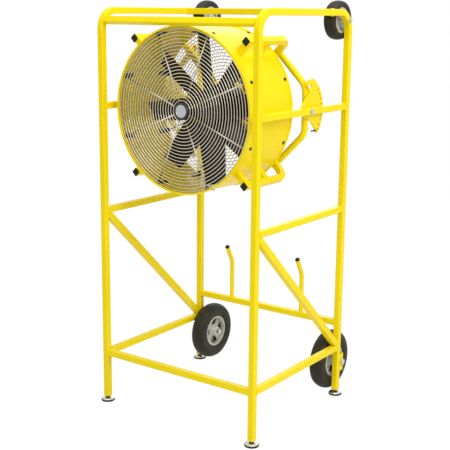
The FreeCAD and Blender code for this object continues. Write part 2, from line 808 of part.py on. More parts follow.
# Index plates with the pivot hole, the row of index holes and the lifting eye
for side, sign in SIDES:
    plate = new_body(side + "_index_plate")
    drawing = new_sketch(plate, "YZ_Plane")
    chain(drawing, [
        ("-plate_tail_share * plate_radius", "-plate_edge_share * plate_radius"),
        ("plate_knee_share * plate_radius", "-plate_knee_share * plate_radius"),
        ("plate_radius * cos(plate_low_angle)", "-plate_radius * sin(plate_low_angle)"),
        ("plate_radius * cos(plate_high_angle)",
         "plate_radius * sin(plate_high_angle)", "plate_radius", 1),
        ("plate_edge_share * plate_radius", "plate_peak_share * plate_radius"),
        ("plate_notch_share * plate_radius", "plate_nape_share * plate_radius"),
        ("plate_hip_share * plate_radius", "plate_waist_share * plate_radius"),
        ("-plate_tail_share * plate_radius", "plate_edge_share * plate_radius"),
    ])
    pad(plate, drawing, "plate_thickness")
    holes = new_sketch(plate, "YZ_Plane")
    ring(holes, ZERO, ZERO, "pivot_radius + run_gap")
    ring(holes, "eye_side_share * plate_radius", "eye_rise_share * plate_radius", "eye_radius")
    for step in range(-4, 5):
        turn = "(%d * index_step)" % step
        up = "index_radius * sin(%s)" % turn if step else ZERO
        ring(holes, "index_radius * cos(%s)" % turn, up, "index_hole")
    cut(plate, holes, both=True)
    put(plate, "plate_x" if sign > 0 else "-plate_x - plate_thickness", "pivot_y", "pivot_height")
    NODES.append(plate)

# Pivot bolts with their nuts inside the index plates
bolts = []
for side, sign in SIDES:
    name = side + "_pivot"
    wide = "pivot_radius * pivot_head_share"
    head = hexagon(name + "_head", wide, "-pivot_radius * pivot_rise_share", ZERO)
    shank = bar(name + "_shank", "pivot_radius", "-pivot_radius / 2",
                "tube_side + plate_gap + plate_thickness + " + wide)
    collar = bar(name + "_collar", wide, "tube_side", "tube_side + plate_gap - side_gap")
    bolt = joined(name + "_bolt", [head, shank, collar])
    face = "tube_side + plate_gap + plate_thickness + side_gap"
    top = face + " + pivot_radius * pivot_nut_share"
    blank = hexagon(name + "_hex", wide, face, top)
    hole = bar(name + "_hole", "pivot_radius", face + " - cut_over", top + " + cut_over")
    nut = less(name + "_nut", blank, hole)
    for item in (bolt, nut):
        inwards = ALONG_BACK_X if sign > 0 else ALONG_X
        put(item, "%d * (side_x + tube_half)" % sign, "pivot_y", "pivot_height", inwards)
    bolts.append(bolt)
    nuts.append(nut)
NODES.append(group("pivot_bolts", bolts))
NODES.append(group("lock_nuts", nuts))

# Tilt lock pin in the left rail, drawn back
shaft = bar("pin_shank", "pin_radius", "-pin_travel - cut_over", "tube_side")
knob = bar("pin_head", "pin_knob", "-pin_travel - pin_knob_height", "-pin_travel")
pin = joined("tilt_lock_pin", [shaft, knob])
put(pin, "-side_x - tube_half", "pivot_y + index_radius", "pivot_height", ALONG_X)
pin.Label = "tilt_lock_pin"
NODES.append(pin)


# Guard of rings in front of spokes
def guard(label, middle, radii, back):
    body = new_body(label)
    flip = "-1" if back else "1"
    drawing = new_sketch(body, "XZ_Plane")
    low = "-(%s) * spoke_depth" % flip
    chain(drawing, [
        (middle[0], ZERO),
        (middle[1], ZERO),
        (middle[1], low),
        (middle[0], low),
    ] if not back else [
        (middle[0], ZERO),
        (middle[0], low),
        (middle[1], low),
        (middle[1], ZERO),
    ])
    turned(body, drawing)
    drawing = new_sketch(body, "XY_Plane")
    start = "(%s + %s) / 2" % middle
    chain(drawing, [
        (start, "-spoke_width / 2"),
        ("tab_seat - tab_thickness", "-spoke_width / 2"),
        ("tab_seat - tab_thickness", "spoke_width / 2"),
        (start, "spoke_width / 2"),
    ])
    spoke = pad(body, drawing, "spoke_depth", back=not back)
    around(body, [spoke], SPOKES)
    drawing = new_sketch(body, "XZ_Plane")
    for radius in radii:
        near = "%s - wire_side / 2" % radius
        far = "%s + wire_side / 2" % radius
        chain(drawing, [
            (near, "-(%s) * wire_side / 2" % flip),
            (far, "-(%s) * wire_side / 2" % flip),
            (far, "%s * wire_side / 2" % flip),
            (near, "%s * wire_side / 2" % flip),
        ])
    turned(body, drawing)
    return body


# Clip that lies along the drum wall and has a ledge behind the spoke end
def guard_clip(label, back):
    body = new_body(label)
    drawing = new_sketch(body, "XZ_Plane")
    flip = 1 if back else -1
    corners = [
        ("tab_seat", ZERO),
        ("tab_seat - tab_thickness", ZERO),
        ("tab_seat - tab_thickness", "%d * spoke_depth" % flip),
        ("tab_seat - ledge_reach", "%d * spoke_depth" % flip),
        ("tab_seat - ledge_reach", "%d * (spoke_depth + tab_thickness)" % flip),
        ("tab_seat - tab_thickness", "%d * (spoke_depth + tab_thickness)" % flip),
        ("tab_seat - tab_thickness", "%d * tab_length" % flip),
        ("tab_seat", "%d * tab_length" % flip),
    ]
    chain(drawing, corners if not back else corners[::-1])
    pad(body, drawing, "tab_width", both=True)
    return body


RING_COUNT = 21
REAR_COUNT = 15
front_guard = guard("front_guard", ("cap_hole_share * cap_radius", "cap_radius"),
                    ["(ring_first + %d * ring_pitch)" % i for i in range(RING_COUNT)], False)
put_fan(front_guard, HALF_STEP, "-guard_set")
rear_guard = guard("rear_guard", ("rear_ring_first - spoke_depth", "rear_ring_first"),
                   ["(rear_ring_first + %d * ring_pitch)" % (i + 1) for i in range(REAR_COUNT)], True)
put_fan(rear_guard, HALF_STEP, "guard_set - drum_length")
badge = turned_body("guard_cap", [
    (ZERO, ZERO),
    ("cap_radius", ZERO),
    ("cap_radius", "cap_height / 2"),
    ("cap_edge_share * cap_radius", "cap_height"),
    ("cap_rim_share * cap_radius", "cap_height"),
    ("cap_plate_share * cap_radius", "cap_floor_share * cap_height"),
    (ZERO, "cap_floor_share * cap_height"),
])
put_fan(badge, 0.0, "-guard_set")
NODES += [front_guard, rear_guard, badge]

# Clips of both guards and the screws that hold them through the drum wall
clips = []
screws = []
for index in range(SPOKES):
    step = HALF_STEP * (2 * index + 1)
    for row_name, level in (("front", "-guard_set"), ("rear", "guard_set - drum_length")):
        clip = guard_clip("%s_clip_%d" % (row_name, index), row_name == "rear")
        put_fan(clip, step, level)
        clips.append(clip)
    for row_name, level in (("front", "-screw_row"), ("rear", "rear_screw_row - drum_length")):
        name = "%s_screw_%d" % (row_name, index)
        head = bar(name + "_head", "screw_head", "drum_radius", "drum_radius + screw_radius")
        shank = bar(name + "_shank", "screw_radius", "tab_seat", "drum_radius + screw_radius / 2")
        screw = joined(name, [head, shank])
        spin = FAN_TURN.multiply(FreeCAD.Rotation(Z_AXIS, step))
        put(screw, ZERO, "drum_front - (%s)" % level, "pivot_height", spin.multiply(ALONG_X))
        screws.append(screw)
NODES.append(group("guard_clips", clips))
NODES.append(group("guard_screws", screws))

# Motor: rolled shell, end bells, stator, band and terminal box
shell = turned_body("motor_shell", [
    ("motor_radius - motor_wall", "-motor_back"),
    ("motor_radius", "-motor_back"),
    ("motor_radius", "-motor_front"),
    ("motor_radius - motor_wall", "-motor_front"),
])
put_fan(shell)
bell = turned_body("motor_front_bell", [
    ("shaft_radius + run_gap", "-motor_front - bell_height / 2"),
    ("motor_radius - motor_wall", "-motor_front - bell_height / 2"),
    ("motor_radius - motor_wall", "-motor_front"),
    ("motor_radius", "-motor_front"),
    ("bell_rim_share * motor_radius", "bell_height / 2 - motor_front"),
    ("bell_neck_share * shaft_radius", "bell_rise_share * bell_height - motor_front"),
    ("bell_nose_share * shaft_radius", "bell_height - motor_front"),
    ("shaft_radius + run_gap", "bell_height - motor_front"),
])
put_fan(bell)
cover = turned_body("motor_rear_cover", [
    ("shaft_radius + run_gap", "bell_height / 2 - motor_back"),
    ("shaft_radius + run_gap", "-motor_back - cover_height / 2"),
    (ZERO, "-motor_back - cover_height / 2"),
    (ZERO, "-motor_back - cover_height"),
    ("cover_rim_share * motor_radius", "-motor_back - cover_height"),
    ("motor_radius", "-motor_back - cover_height / 2"),
    ("motor_radius", "-motor_back"),
    ("motor_radius - motor_wall", "-motor_back"),
    ("motor_radius - motor_wall", "bell_height / 2 - motor_back"),
])
put_fan(cover)
stator = turned_body("motor_stator", [
    ("stator_radius", "-(motor_front + motor_back + core_length) / 2"),
    ("motor_radius - motor_wall", "-(motor_front + motor_back + core_length) / 2"),
    ("motor_radius - motor_wall", "(core_length - motor_front - motor_back) / 2"),
    ("stator_radius", "(core_length - motor_front - motor_back) / 2"),
])
put_fan(stator)
band = turned_body("motor_band", [
    ("motor_radius", "-handle_setback - band_width / 2"),
    ("band_radius", "-handle_setback - band_width / 2"),
    ("band_radius", "band_width / 2 - handle_setback"),
    ("motor_radius", "band_width / 2 - handle_setback"),
])
put_fan(band)
terminal = new_body("terminal_box")
drawing = new_sketch(terminal, "XY_Plane", "-motor_back")
chain(drawing, [
    ("-box_width / 2", "motor_radius"),
    ("box_width / 2", "motor_radius"),
    ("box_width / 2", "motor_radius + box_height"),
    ("-box_width / 2", "motor_radius + box_height"),
])
pad(terminal, drawing, "box_length")
drawing = new_sketch(terminal, "XY_Plane", "-motor_back - lid_lip")
chain(drawing, [
    ("-box_width / 2 - lid_lip", "motor_radius + box_height"),
    ("box_width / 2 + lid_lip", "motor_radius + box_height"),
    ("box_width / 2 + lid_lip", "motor_radius + box_height + lid_height"),
    ("-box_width / 2 - lid_lip", "motor_radius + box_height + lid_height"),
])
pad(terminal, drawing, "box_length + 2 * lid_lip")
put_fan(terminal)
rotor = turned_body("motor_rotor", [
    (ZERO, "cover_height / 4 - motor_back - cover_height / 2"),
    ("shaft_radius", "cover_height / 4 - motor_back - cover_height / 2"),
    ("shaft_radius", "-(motor_front + motor_back + core_length) / 2"),
    ("rotor_radius", "-(motor_front + motor_back + core_length) / 2"),
    ("rotor_radius", "(core_length - motor_front - motor_back) / 2"),
    ("shaft_radius", "(core_length - motor_front - motor_back) / 2"),
    ("shaft_radius", "hub_length / 2 - impeller_set"),
    (ZERO, "hub_length / 2 - impeller_set"),
])
put_fan(rotor)
NODES += [shell, bell, cover, stator, band, terminal, rotor]

# Impeller: eight twisted, cambered blades on a turned hub
impeller = turned_body("impeller", [
    ("shaft_radius", "-hub_length / 2"),
    ("hub_nose_share * hub_radius", "-hub_length / 2"),
    ("hub_radius", "-hub_length / 4"),
    ("hub_radius", "hub_length / 4"),
    ("hub_nose_share * hub_radius", "hub_length / 2"),
    ("shaft_radius", "hub_length / 2"),
])
sections = []
for chord, pitch, reach in (("root_chord", "root_pitch", "hub_radius * root_sink_share"),
                            ("middle_chord", "middle_pitch", "(hub_radius + tip_radius) / 2"),
                            ("tip_chord", "tip_pitch", "tip_radius")):
    drawing = new_sketch(impeller, "YZ_Plane", reach)
    flat = "%s / 2 * cos(%s)" % (chord, pitch)
    rise = "%s / 2 * sin(%s)" % (chord, pitch)
    thin_flat = "blade_thickness / 4 * sin(%s)" % pitch
    thin_rise = "blade_thickness / 4 * cos(%s)" % pitch
    chain(drawing, [
        ("%s - %s" % (flat, thin_flat), "-(%s) - %s" % (rise, thin_rise), chord + " * camber_share", 1),
        ("%s + %s" % (flat, thin_flat), "%s - %s" % (thin_rise, rise)),
        ("%s - (%s)" % (thin_flat, flat), "%s + %s" % (rise, thin_rise), chord + " * camber_share", -1),
        ("-(%s) - (%s)" % (flat, thin_flat), "%s - %s" % (rise, thin_rise)),
    ])
    sections.append(drawing)
blade = impeller.newObject("PartDesign::AdditiveLoft", "impeller_blade")
blade.Profile = sections[0]
blade.Sections = sections[1:]
impeller.Tip = blade
around(impeller, [blade], SPOKES)
put_fan(impeller, number("first_blade"), "-impeller_set")
NODES.append(impeller)

doc.recompute()

# Checks of every object, then one file for each node
faults = []
for item in doc.Objects:
    state = item.State
    if "Invalid" in state or "Error" in state:
        faults.append("%s is %s" % (item.Label, state))
for node in NODES:
    if node.Shape.isNull():
        faults.append(node.Label + " has no shape")
    elif not node.Shape.isValid():
        faults.append(node.Label + " is not valid")
    elif not node.Shape.Solids:
        faults.append(node.Label + " has no solid")
if faults:
    raise RuntimeError("; ".join(faults))
os.makedirs("parts", exist_ok=True)
for node in NODES:
    node.Shape.exportStep("parts/" + node.Label + ".step")
    box = node.Shape.optimalBoundingBox(False)
    print("%-26s solids %d faces %4d volume %10.0f  x %.1f..%.1f y %.1f..%.1f z %.1f..%.1f" % (
        node.Label, len(node.Shape.Solids), len(node.Shape.Faces), node.Shape.Volume,
        box.XMin, box.XMax, box.YMin, box.YMax, box.ZMin, box.ZMax))
print("nodes", len(NODES))
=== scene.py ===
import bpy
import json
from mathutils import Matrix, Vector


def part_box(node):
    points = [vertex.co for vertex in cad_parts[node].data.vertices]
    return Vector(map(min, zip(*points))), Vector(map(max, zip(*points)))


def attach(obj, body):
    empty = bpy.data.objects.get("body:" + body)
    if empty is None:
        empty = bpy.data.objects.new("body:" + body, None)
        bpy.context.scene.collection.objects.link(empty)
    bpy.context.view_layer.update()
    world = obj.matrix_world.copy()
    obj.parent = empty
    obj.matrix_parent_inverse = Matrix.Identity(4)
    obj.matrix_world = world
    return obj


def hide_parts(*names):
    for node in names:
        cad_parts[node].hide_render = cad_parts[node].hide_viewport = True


bl_info = {
    "name": "Drum Fan Cart",
    "version": (1, 0, 0),
    "blender": (4, 5, 0),
    "location": "View3D > Sidebar > Drum Fan",
    "description": "Dresses a tilting drum fan and its tube cart",
    "category": "Object",
}

import json
import math

import bmesh
import bpy
from bpy.props import FloatProperty, FloatVectorProperty, IntProperty, PointerProperty
from mathutils import Matrix, Vector

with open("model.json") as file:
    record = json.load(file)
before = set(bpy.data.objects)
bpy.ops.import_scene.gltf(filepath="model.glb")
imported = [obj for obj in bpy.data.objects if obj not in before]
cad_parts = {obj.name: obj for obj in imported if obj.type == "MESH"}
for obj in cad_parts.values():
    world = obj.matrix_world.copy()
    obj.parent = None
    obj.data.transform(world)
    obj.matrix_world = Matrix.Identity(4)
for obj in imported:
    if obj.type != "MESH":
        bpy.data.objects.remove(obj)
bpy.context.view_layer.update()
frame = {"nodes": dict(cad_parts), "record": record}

RAIL_LOW, RAIL_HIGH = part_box("right_pivot_rail")
LOOP_LOW, LOOP_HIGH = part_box("right_side_loop")
FAN_AXIS_HEIGHT = (RAIL_LOW.z + RAIL_HIGH.z) / 2
LEG_MIDDLE_Y = (LOOP_LOW.y + LOOP_HIGH.y) / 2
SIDES = ("left", "right")
LEVELS = ("lower", "upper")
TAU = 2 * math.pi

# Share of a hub's length up to its web's face, within which the window walls get painted shade, and of its
# diameter that is the pale boss
WEB_SHARE = 0.135
BOSS_SHARE = 0.15

# A tyre's side from its shoulder down to its bead: shares of the rubber's depth and of its half width
TYRE_WALL = (
    (0.86, 0.8), (0.76, 0.93), (0.62, 0.985), (0.45, 1.0), (0.3, 0.985),
    (0.24, 0.95), (0.18, 0.95), (0.1, 0.88), (0.0, 0.8))

# A foot's outlines: shares of its radius and of its sole's height
FOOT_SOLE = ((0.0, 0.0), (0.9, 0.0), (1.0, 0.15), (1.0, 0.85), (0.96, 1.0), (0.0, 1.0))
FOOT_CUP = ((0.0, 1.0), (0.93, 1.0), (0.93, 1.25), (0.86, 1.45), (0.6, 1.75), (0.4, 1.87), (0.21, 1.87))
FOOT_STUD = 0.21

# A tyre's tread: its ribs, its groove's depth and its crown's fall as shares of the rubber's depth,
# its half width as a share of the tyre's, and one rib's outline: shares of its pitch and of the groove
TREAD_RIBS = 5
TREAD_GROOVE = 0.05
TREAD_CROWN = 0.22
TREAD_HALF = 0.62
TREAD_RIB = ((0.04, 1.0), (0.12, 0.0), (0.88, 0.0), (0.96, 1.0))

# A foot's nut: its radius and its bevel as shares of the foot's radius,
# its height and its middle's height as shares of the sole's height
NUT_RADIUS = 0.38
NUT_BEVEL = 0.02
NUT_HEIGHT = 0.6
NUT_MIDDLE = 2.2

# Radii of the rings on the motor's rear cover, as shares of the motor's
COVER_RINGS = (0.25, 0.42, 0.59)

# A stop screw's length, its nut's height and its nut's radius, in radii of the screw
STOP_LENGTH = 10
STOP_NUT_HEIGHT = 3
STOP_NUT_RADIUS = 1.45

# Radius at which the guard cap's plate turns into its dark rim
CAP_RIM = 0.0245

# The point that the lamps are aimed at, and each lamp's place from there and its width
LAMP_AIM = Vector((0.0, 0.0, 0.9))
LAMPS = (
    ("key", (3.6, -0.9, 2.2), 2.4), ("fill", (0.3, -4.1, 2.6), 3.0),
    ("top", (0.4, 0.0, 3.4), 2.4), ("back", (-1.8, 4.2, 1.6), 3.0))

# The floor's half width, and how far it lies under the feet
FLOOR_HALF = 20.0
FLOOR_DROP = 0.0006


class FanSizes(bpy.types.PropertyGroup):
    """Sizes of the pieces that are dressed"""

    wire: FloatProperty(
        name="Guard wire", description="Radius of a guard ring's wire",
        default=0.0017, min=0.0005, subtype="DISTANCE", unit="LENGTH")
    spoke: FloatProperty(
        name="Guard spoke", description="Radius of a guard spoke's rod",
        default=0.0026, min=0.0005, subtype="DISTANCE", unit="LENGTH")
    ring_first: FloatProperty(
        name="First ring", description="Radius of the guard's inmost ring",
        default=0.040, subtype="DISTANCE", unit="LENGTH")
    ring_pitch: FloatProperty(
        name="Ring pitch", description="Distance from ring to ring",
        default=0.0126, subtype="DISTANCE", unit="LENGTH")
    ring_count: IntProperty(name="Rings", description="Rings of the front guard", default=22, min=1)
    rear_first: FloatProperty(
        name="First rear ring", description="Radius of the rear guard's inmost ring",
        default=0.108, subtype="DISTANCE", unit="LENGTH")
    rear_count: IntProperty(name="Rear rings", description="Rings of the rear guard", default=16, min=1)
    spoke_end: FloatProperty(
        name="Spoke end", description="Distance from the fan's axis to a spoke's end",
        default=0.3074, subtype="DISTANCE", unit="LENGTH")
    spokes: IntProperty(name="Spokes", description="Spokes of a guard", default=8, min=3)
    bead: FloatProperty(
        name="Weld bead", description="Radius of a weld bead",
        default=0.0022, subtype="DISTANCE", unit="LENGTH")
    post: FloatProperty(
        name="Cord post", description="Radius of a cord post",
        default=0.0095, subtype="DISTANCE", unit="LENGTH")
    fin: FloatProperty(
        name="Motor fin", description="Height of a cooling fin",
        default=0.006, subtype="DISTANCE", unit="LENGTH")
    fins: IntProperty(name="Fins", description="Cooling fins round the motor", default=36, min=6)
    heel: FloatProperty(
        name="Stop's place", description="Distance from an index plate's tail to its stop screw",
        default=0.1135, subtype="DISTANCE", unit="LENGTH")
    heel_rise: FloatProperty(
        name="Stop's rise", description="Height of a stop screw over its index plate's lowest point",
        default=0.0116, subtype="DISTANCE", unit="LENGTH")
    stop: FloatProperty(
        name="Stop screw", description="Radius of a stop screw",
        default=0.003, subtype="DISTANCE", unit="LENGTH")
    sole: FloatProperty(
        name="Foot sole", description="Height of a foot's rubber sole",
        default=0.008, subtype="DISTANCE", unit="LENGTH")


class FanColours(bpy.types.PropertyGroup):
    """Colours of the finishes"""

    enamel: FloatVectorProperty(
        name="Enamel", description="Yellow powder coat", size=3, subtype="COLOR", default=(0.93, 0.73, 0.003))
    chrome: FloatVectorProperty(
        name="Chrome", description="Bright plated wire", size=3, subtype="COLOR", default=(0.66, 0.62, 0.53))
    rubber: FloatVectorProperty(
        name="Rubber", description="Tyre rubber", size=3, subtype="COLOR", default=(0.0155, 0.0142, 0.0055))
    hub: FloatVectorProperty(
        name="Hub", description="Grey moulded hub", size=3, subtype="COLOR", default=(0.50, 0.50, 0.45))
    blade: FloatVectorProperty(
        name="Blade", description="Dark blade", size=3, subtype="COLOR", default=(0.006, 0.006, 0.007))
    zinc: FloatVectorProperty(
        name="Zinc", description="Plated steel", size=3, subtype="COLOR", default=(0.62, 0.62, 0.64))


class StageValues(bpy.types.PropertyGroup):
    """Camera and light"""

    azimuth: FloatProperty(
        name="Azimuth", description="Camera's angle round the cart from the front",
        default=math.radians(35.757), subtype="ANGLE")
    pitch: FloatProperty(
        name="Pitch", description="Camera's tilt down", default=math.radians(12.509), subtype="ANGLE")
    roll: FloatProperty(
        name="Roll", description="Camera's roll", default=math.radians(0.571), subtype="ANGLE")
    lens: FloatProperty(name="Lens", description="Focal length in millimetres", default=76.766)
    place: FloatVectorProperty(
        name="Camera place", description="From the floor point amid the legs", size=3, subtype="TRANSLATION",
        default=(2.2379, -3.1041, 1.5970))
    key: FloatProperty(
        name="Key light", description="Power of the key light", default=90.0, unit="POWER")
    fill: FloatProperty(
        name="Fill light", description="Power of the fill light", default=52.0, unit="POWER")
    top: FloatProperty(
        name="Top light", description="Power of the light overhead", default=60.0, unit="POWER")
    back: FloatProperty(
        name="Back light", description="Power of the light behind", default=45.0, unit="POWER")
    sky: FloatProperty(name="Sky", description="Strength of the light all round", default=0.42)
    glow: FloatProperty(
        name="Floor glow", description="Strength at which the seen floor is white", default=1.04)
    paleness: FloatProperty(
        name="Paleness", description="Share of glow in the seen floor, the rest shows shadows", default=0.93)


class Flow:
    """A shader value that adds its Math nodes as it is used in an expression"""

    def __init__(self, shading, socket):
        self.shading = shading
        self.socket = socket

    def maths(self, operation, first, second):
        return self.shading.node("ShaderNodeMath", {"operation": operation}, {0: first, 1: second})

    def __add__(self, other):
        return self.maths("ADD", self, other)

    __radd__ = __add__

    def __mul__(self, other):
        return self.maths("MULTIPLY", self, other)

    __rmul__ = __mul__

    def __sub__(self, other):
        return self.maths("SUBTRACT", self, other)

    def __rsub__(self, other):
        return self.maths("SUBTRACT", other, self)

    def __gt__(self, other):
        return self.maths("GREATER_THAN", self, other)

    def __or__(self, other):
        return self.maths("MAXIMUM", self, other)


class Shading:
    """A node tree whose nodes are all made by one method"""

    def __init__(self, tree):
        self.tree = tree

    def node(self, kind, settings=None, sockets=None, output=0):
        made = self.tree.nodes.new(kind)
        for name, value in (settings or {}).items():
            setattr(made, name, value)
        for name, value in (sockets or {}).items():
            if isinstance(value, Flow):
                self.tree.links.new(value.socket, made.inputs[name])
            else:
                made.inputs[name].default_value = value
        return Flow(self, made.outputs[output])

    def seen(self):
        """1 for the camera, for reflections and through clear pieces, 0 for light"""
        camera, glossy, clear = (
            self.node("ShaderNodeLightPath", output="Is %s Ray" % ray)
            for ray in ("Camera", "Glossy", "Transmission"))
        return camera | glossy | clear

    def surface(self, last, share, first, second):
        """Blends two shaders on to the tree's last node"""
        blend = self.node("ShaderNodeMixShader", None, {0: share, 1: first, 2: second})
        self.tree.links.new(blend.socket, self.tree.nodes[last].inputs["Surface"])


class Finish(Shading):
    """One material with a principled shader on it"""

    def __init__(self, name, colour, roughness, metallic=0.0, coat=0.0, specular=0.5):
        self.material = bpy.data.materials.new(name)
        self.material.use_nodes = True
        super().__init__(self.material.node_tree)
        self.shader = self.tree.nodes["Principled BSDF"]
        self.set("Base Color", (*colour, 1.0))
        self.set("Roughness", roughness)
        self.set("Metallic", metallic)
        self.set("Coat Weight", coat)
        self.set("Specular IOR Level", specular)
        self.set("Coat Roughness", 0.08)

    def set(self, name, value):
        if isinstance(value, Flow):
            self.tree.links.new(value.socket, self.shader.inputs[name])
        else:
            self.shader.inputs[name].default_value = value

    def place(self):
        return self.node("ShaderNodeTexCoord", output="Object")

    def noise(self, scale, detail=3.0, stretch=None):
        spot = self.place()
        if stretch:
            spot = self.node("ShaderNodeMapping", None, {"Vector": spot, "Scale": stretch})
        return self.node("ShaderNodeTexNoise", None, {"Vector": spot, "Scale": scale, "Detail": detail})

    def ramp(self, value, low, high):
        return self.node("ShaderNodeMapRange", None, {"Value": value, "From Min": low, "From Max": high})

    def mix(self, share, first, second):
        shades = [(*shade, 1.0) if isinstance(shade, tuple) else shade for shade in (first, second)]
        return self.node("ShaderNodeMix", {"data_type": "RGBA"}, {0: share, 6: shades[0], 7: shades[1]}, 2)

    def bump(self, height, distance, strength=1.0):
        self.set("Normal", self.node(
            "ShaderNodeBump", None, {"Height": height, "Distance": distance, "Strength": strength}))


def shade(colour, share):
    """The colour made lighter or darker"""
    return tuple(part * share for part in colour)


def enamel_finish(colours):
    colour = tuple(colours.enamel)
    finish = Finish("yellow_enamel", colour, 0.32, coat=0.04, specular=0.1)
    drift = finish.noise(5.0, 4.0)
    grime = finish.ramp(finish.noise(38.0, 6.0), 0.62, 0.8)
    clean = finish.mix(drift, shade(colour, 0.93), shade(colour, 1.05))
    finish.set("Base Color", finish.mix(grime * 0.25, clean, shade(colour, 0.6)))
    finish.set("Roughness", 0.26 + drift * 0.12)
    finish.bump(finish.noise(900.0, 2.0), 0.00012, 0.5)
    return finish.material


def chrome_finish(colours):
    finish = Finish("bright_chrome", tuple(colours.chrome), 0.14, metallic=1.0)
    finish.set("Roughness", 0.10 + finish.noise(120.0, 4.0) * 0.14)
    return finish.material


def rubber_finish(colours):
    colour = tuple(colours.rubber)
    finish = Finish("tyre_rubber", colour, 0.62, specular=0.3)
    dust = finish.ramp(finish.noise(22.0, 5.0), 0.45, 0.75)
    finish.set("Base Color", finish.mix(dust * 0.5, colour, shade(colour, 2.6)))
    finish.set("Roughness", 0.5 + dust * 0.25)
    finish.bump(finish.noise(600.0, 3.0), 0.0003, 0.4)
    return finish.material


def hub_finish(colours, name):
    """Grey moulding with a pale boss and painted shade on the window walls within the web, told apart by
    reach and depth
    """
    colour = tuple(colours.hub)
    low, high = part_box(name)
    centre = (low + high) / 2
    web = WEB_SHARE * (high.x - low.x)
    boss = BOSS_SHARE * (high.z - low.z)
    finish = Finish(name + "_grey", colour, 0.45)
    spot = finish.node("ShaderNodeMapping", None, {"Vector": finish.place(), "Location": tuple(-centre)})
    depth = finish.node("ShaderNodeSeparateXYZ", None, {0: spot}, "X")
    length = finish.node("ShaderNodeVectorMath", {"operation": "DOT_PRODUCT"}, {0: spot, 1: spot}, "Value")
    mottle = finish.noise(30.0, 4.0)
    face = finish.mix(mottle, shade(colour, 0.88), shade(colour, 1.1))
    # Painted shade: the window walls within the web's depth are painted near black, standing in for the
    # shadow inside the deep windows
    face_with_painted_wall_shade = finish.mix(depth * depth > web * web, shade(colour, 0.06), face)
    finish.set("Base Color", finish.mix(length - depth * depth > boss * boss, shade(colour, 1.6), face_with_painted_wall_shade))
    finish.bump(finish.noise(700.0, 2.0), 0.0002, 0.3)
    return finish.material


def blade_finish(colours):
    colour = tuple(colours.blade)
    finish = Finish("dark_blade", colour, 0.28, coat=0.1, specular=0.25)
    streak = finish.noise(24.0, 5.0)
    finish.set("Base Color", finish.mix(streak, colour, shade(colour, 2.2)))
    finish.set("Roughness", 0.22 + streak * 0.16)
    finish.bump(finish.noise(500.0, 2.0), 0.00015, 0.3)
    return finish.material


def motor_finish():
    finish = Finish("motor_enamel", (0.03, 0.03, 0.032), 0.42)
    finish.set("Roughness", 0.34 + finish.noise(60.0, 4.0) * 0.2)
    finish.bump(finish.noise(800.0, 2.0), 0.0002, 0.4)
    return finish.material


def plastic_finish():
    finish = Finish("dark_plastic", (0.010, 0.010, 0.009), 0.5, specular=0.2)
    finish.set("Roughness", 0.42 + finish.noise(140.0, 3.0) * 0.2)
    finish.bump(finish.noise(1200.0, 2.0), 0.0001, 0.4)
    return finish.material


def oxide_finish():
    finish = Finish("black_oxide", (0.05, 0.048, 0.045), 0.4, metallic=0.6)
    finish.set("Roughness", 0.34 + finish.noise(160.0, 3.0) * 0.2)
    return finish.material


def zinc_finish(colours):
    colour = tuple(colours.zinc)
    finish = Finish("zinc_plate", colour, 0.3, metallic=1.0)
    spangle = finish.noise(180.0, 3.0)
    finish.set("Base Color", finish.mix(spangle, shade(colour, 0.85), shade(colour, 1.15)))
    finish.set("Roughness", 0.22 + spangle * 0.2)
    return finish.material


def badge_finish():
    """Satin plate with a dark rim, told apart by the distance from the fan's axis"""
    finish = Finish("satin_badge", (0.5, 0.5, 0.52), 0.34, metallic=0.8)
    spot = finish.node("ShaderNodeMapping", {"vector_type": "POINT"}, {
        "Vector": finish.place(), "Location": (0.0, 0.0, -FAN_AXIS_HEIGHT), "Scale": (1.0, 0.0, 1.0)})
    reach = finish.node("ShaderNodeVectorMath", {"operation": "LENGTH"}, {0: spot}, "Value")
    rim = reach > CAP_RIM
    brushed = finish.noise(400.0, 2.0)
    satin = finish.mix(brushed, (0.42, 0.42, 0.44), (0.56, 0.56, 0.58))
    finish.set("Base Color", finish.mix(rim, satin, (0.012, 0.012, 0.013)))
    finish.set("Metallic", 0.8 - rim * 0.8)
    finish.set("Roughness", 0.28 + brushed * 0.15)
    return finish.material


def keep_piece(name, bm, material, body, stands_for=(), smooth=True):
    """Makes an object of a finished bmesh and has it ride on a body"""
    bmesh.ops.remove_doubles(bm, verts=bm.verts, dist=1e-6)
    bmesh.ops.recalc_face_normals(bm, faces=bm.faces)
    mesh = bpy.data.meshes.new(name)
    bm.to_mesh(mesh)
    bm.free()
    for face in mesh.polygons:
        face.use_smooth = smooth
    piece = bpy.data.objects.new(name, mesh)
    bpy.context.scene.collection.objects.link(piece)
    mesh.materials.append(material)
    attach(piece, body)
    if stands_for:
        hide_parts(*stands_for)


def paint(nodes, material):
    """Gives CAD nodes a finish"""
    for name in nodes:
        for slot in frame["nodes"][name].material_slots:
            slot.material = material


def full_turn(bm, geom, steps, centre=(0.0, 0.0, 0.0)):
    """Spins an outline once round an upright axis"""
    bmesh.ops.spin(bm, geom=geom, cent=centre, axis=(0, 0, 1), angle=TAU, steps=steps, use_merge=True)


def spin_profile(bm, corners, steps, closed=True):
    """Turns an outline of radius and height about Z"""
    verts = [bm.verts.new((radius, 0.0, height)) for radius, height in corners]
    edges = [bm.edges.new((verts[i], verts[i + 1])) for i in range(len(verts) - 1)]
    if closed:
        edges.append(bm.edges.new((verts[-1], verts[0])))
    full_turn(bm, verts + edges, steps)


def wire_ring(bm, radius, wire, centre=(0.0, 0.0, 0.0), steps=112, sides=8):
    """One round wire ring about an upright axis"""
    start = Vector(centre) + Vector((radius, 0.0, 0.0))
    turn = Matrix.Translation(start) @ Matrix.Rotation(math.pi / 2, 4, "X")
    made = bmesh.ops.create_circle(bm, cap_ends=False, radius=wire, segments=sides, matrix=turn)
    edges = list({edge for vert in made["verts"] for edge in vert.link_edges})
    full_turn(bm, made["verts"] + edges, steps, centre)


